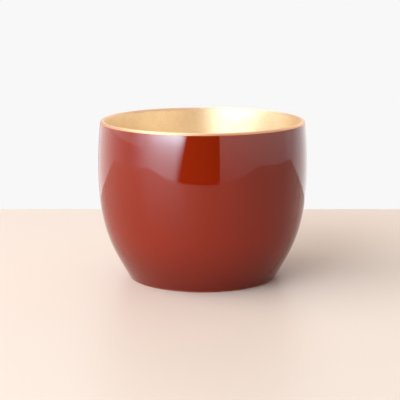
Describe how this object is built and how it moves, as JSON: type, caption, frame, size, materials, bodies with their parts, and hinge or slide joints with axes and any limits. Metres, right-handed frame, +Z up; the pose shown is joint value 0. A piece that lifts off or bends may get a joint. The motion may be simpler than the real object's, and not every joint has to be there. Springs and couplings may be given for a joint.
{
  "type": "sake cup",
  "caption": "Small round sake cup of lacquered turned wood: a thin bowl that narrows to a flat foot, glossy red outside and satin gold inside and over the lip.",
  "frame": {"origin": "centre of the flat ring that the cup stands on", "axes": "+Z up along the axis that the cup is turned on; +X and +Y lie in the resting plane, and the cup is the same all round"},
  "size_m": [0.066, 0.066, 0.05],
  "materials": {
    "bare_wood": "satin",
    "ground_coat": "matte",
    "red_lacquer": "gloss",
    "gold": "satin"
  },
  "bodies": {
    "root": {"turned_wood_body": "bare_wood", "outer_ground_coat": "ground_coat", "inner_ground_coat": "ground_coat", "red_wall_lacquer": "red_lacquer", "red_underside_lacquer": "red_lacquer", "gold_lining": "gold"}
  },
  "joints": []
}
